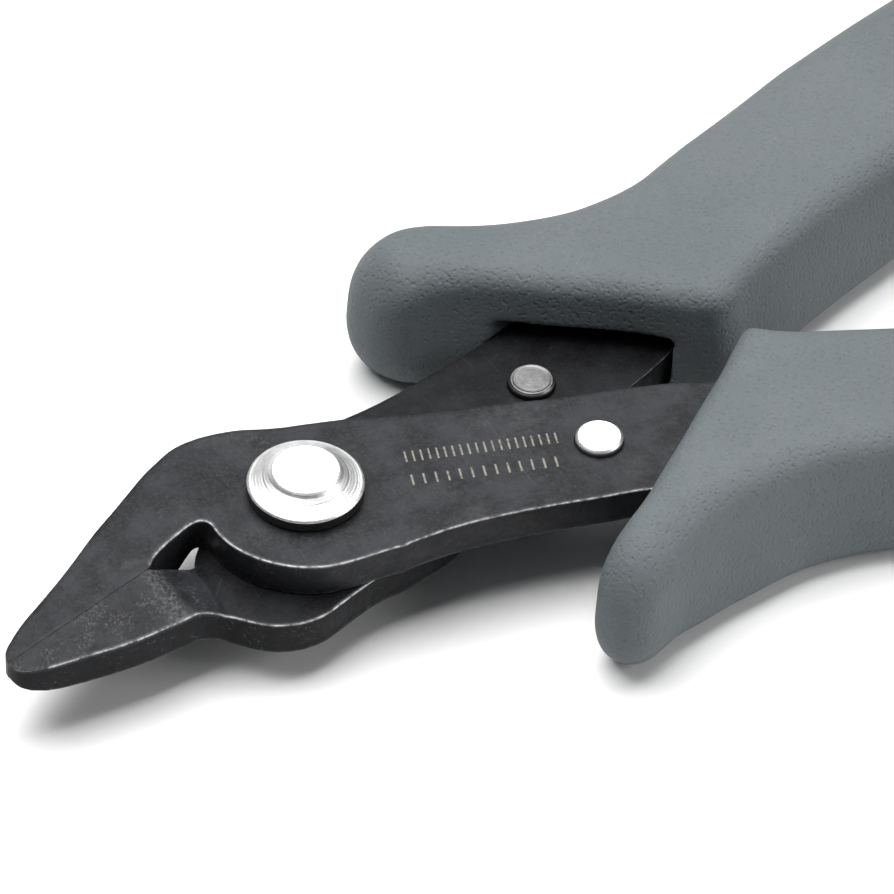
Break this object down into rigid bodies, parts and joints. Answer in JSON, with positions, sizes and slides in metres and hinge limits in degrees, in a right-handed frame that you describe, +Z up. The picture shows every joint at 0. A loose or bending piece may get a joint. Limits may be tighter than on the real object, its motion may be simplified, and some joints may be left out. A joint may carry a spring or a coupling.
{
  "type": "sprue nippers",
  "caption": "Small plate-type side cutters for trimming moulded plastic, with angled jaws, a riveted pivot, a return spring and curved plastic grips.",
  "frame": {"origin": "middle of the footprint, on the surface that the tool lies on", "axes": "+X from the jaws towards the handle ends, +Y towards the grip of the lower lever, +Z up, square to the flat of the plates"},
  "size_m": [0.1286, 0.0572, 0.0105],
  "materials": {
    "black_steel": "black oxide on stamped steel, fine mottling, worn bright along the edges",
    "turned_steel": "bright turned steel with concentric tool marks",
    "spring_wire": "drawn spring wire, dull bright",
    "grip_plastic": "fine leather grain, matte blue-grey"
  },
  "bodies": {
    "lower_half": {"lower_blade_lever": "black_steel", "pivot_rivet": "turned_steel", "pivot_tail_washer": "turned_steel", "return_spring": "spring_wire", "spring_post_left": "turned_steel", "post_clip_left": "spring_wire", "grip_left": "grip_plastic"},
    "upper_half": {"upper_blade_lever": "black_steel", "spring_post_right": "turned_steel", "post_clip_right": "spring_wire", "grip_right": "grip_plastic"}
  },
  "joints": [
    {"name": "pivot", "type": "hinge", "parent": "lower_half", "child": "upper_half", "pos_m": [-0.04091, 0, 0.00525], "axis": [0, 0, -1], "range_deg": [0, 22], "stiffness_Nm_per_rad": 0.25, "springref_deg": 22, "deforming": ["return_spring"]}
  ]
}
